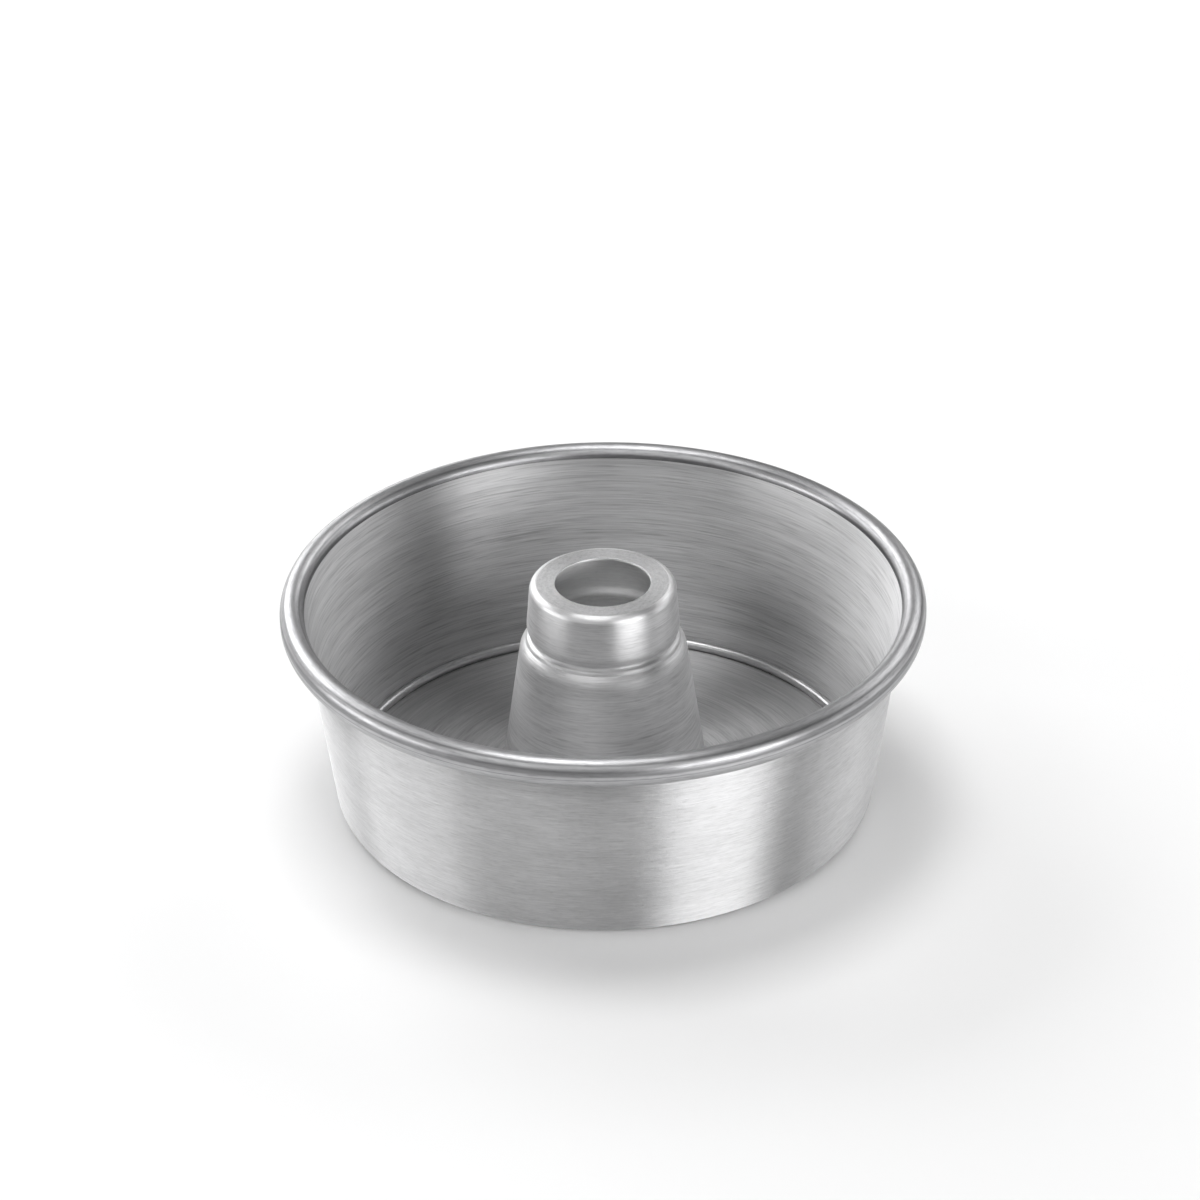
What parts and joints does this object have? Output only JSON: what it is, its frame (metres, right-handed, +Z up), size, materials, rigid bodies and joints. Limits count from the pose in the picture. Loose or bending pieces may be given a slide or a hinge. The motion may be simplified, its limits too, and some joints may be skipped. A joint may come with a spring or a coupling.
{
  "type": "angel food cake pan",
  "caption": "Round shallow cake pan with flared wall, rolled rim and a lift-out flat bottom that carries a tapered centre tube.",
  "frame": {"origin": "centre of the circle on which the pan stands, at table level", "axes": "+Z up along the axis of the pan and its tube; the pan is round, so X and Y are free"},
  "size_m": [0.2032, 0.2032, 0.074],
  "materials": {
    "aluminium": "bare spun aluminium, satin with fine turning marks running round the axis, burnished at the rim"
  },
  "bodies": {
    "pan": {"pan_shell": "aluminium"},
    "lift_out_bottom": {"bottom_disc": "aluminium", "centre_tube": "aluminium"}
  },
  "joints": [
    {"name": "insert_lift", "type": "slide", "parent": "pan", "child": "lift_out_bottom", "axis": [0, 0, 1], "range_m": [0, 0.08]}
  ]
}
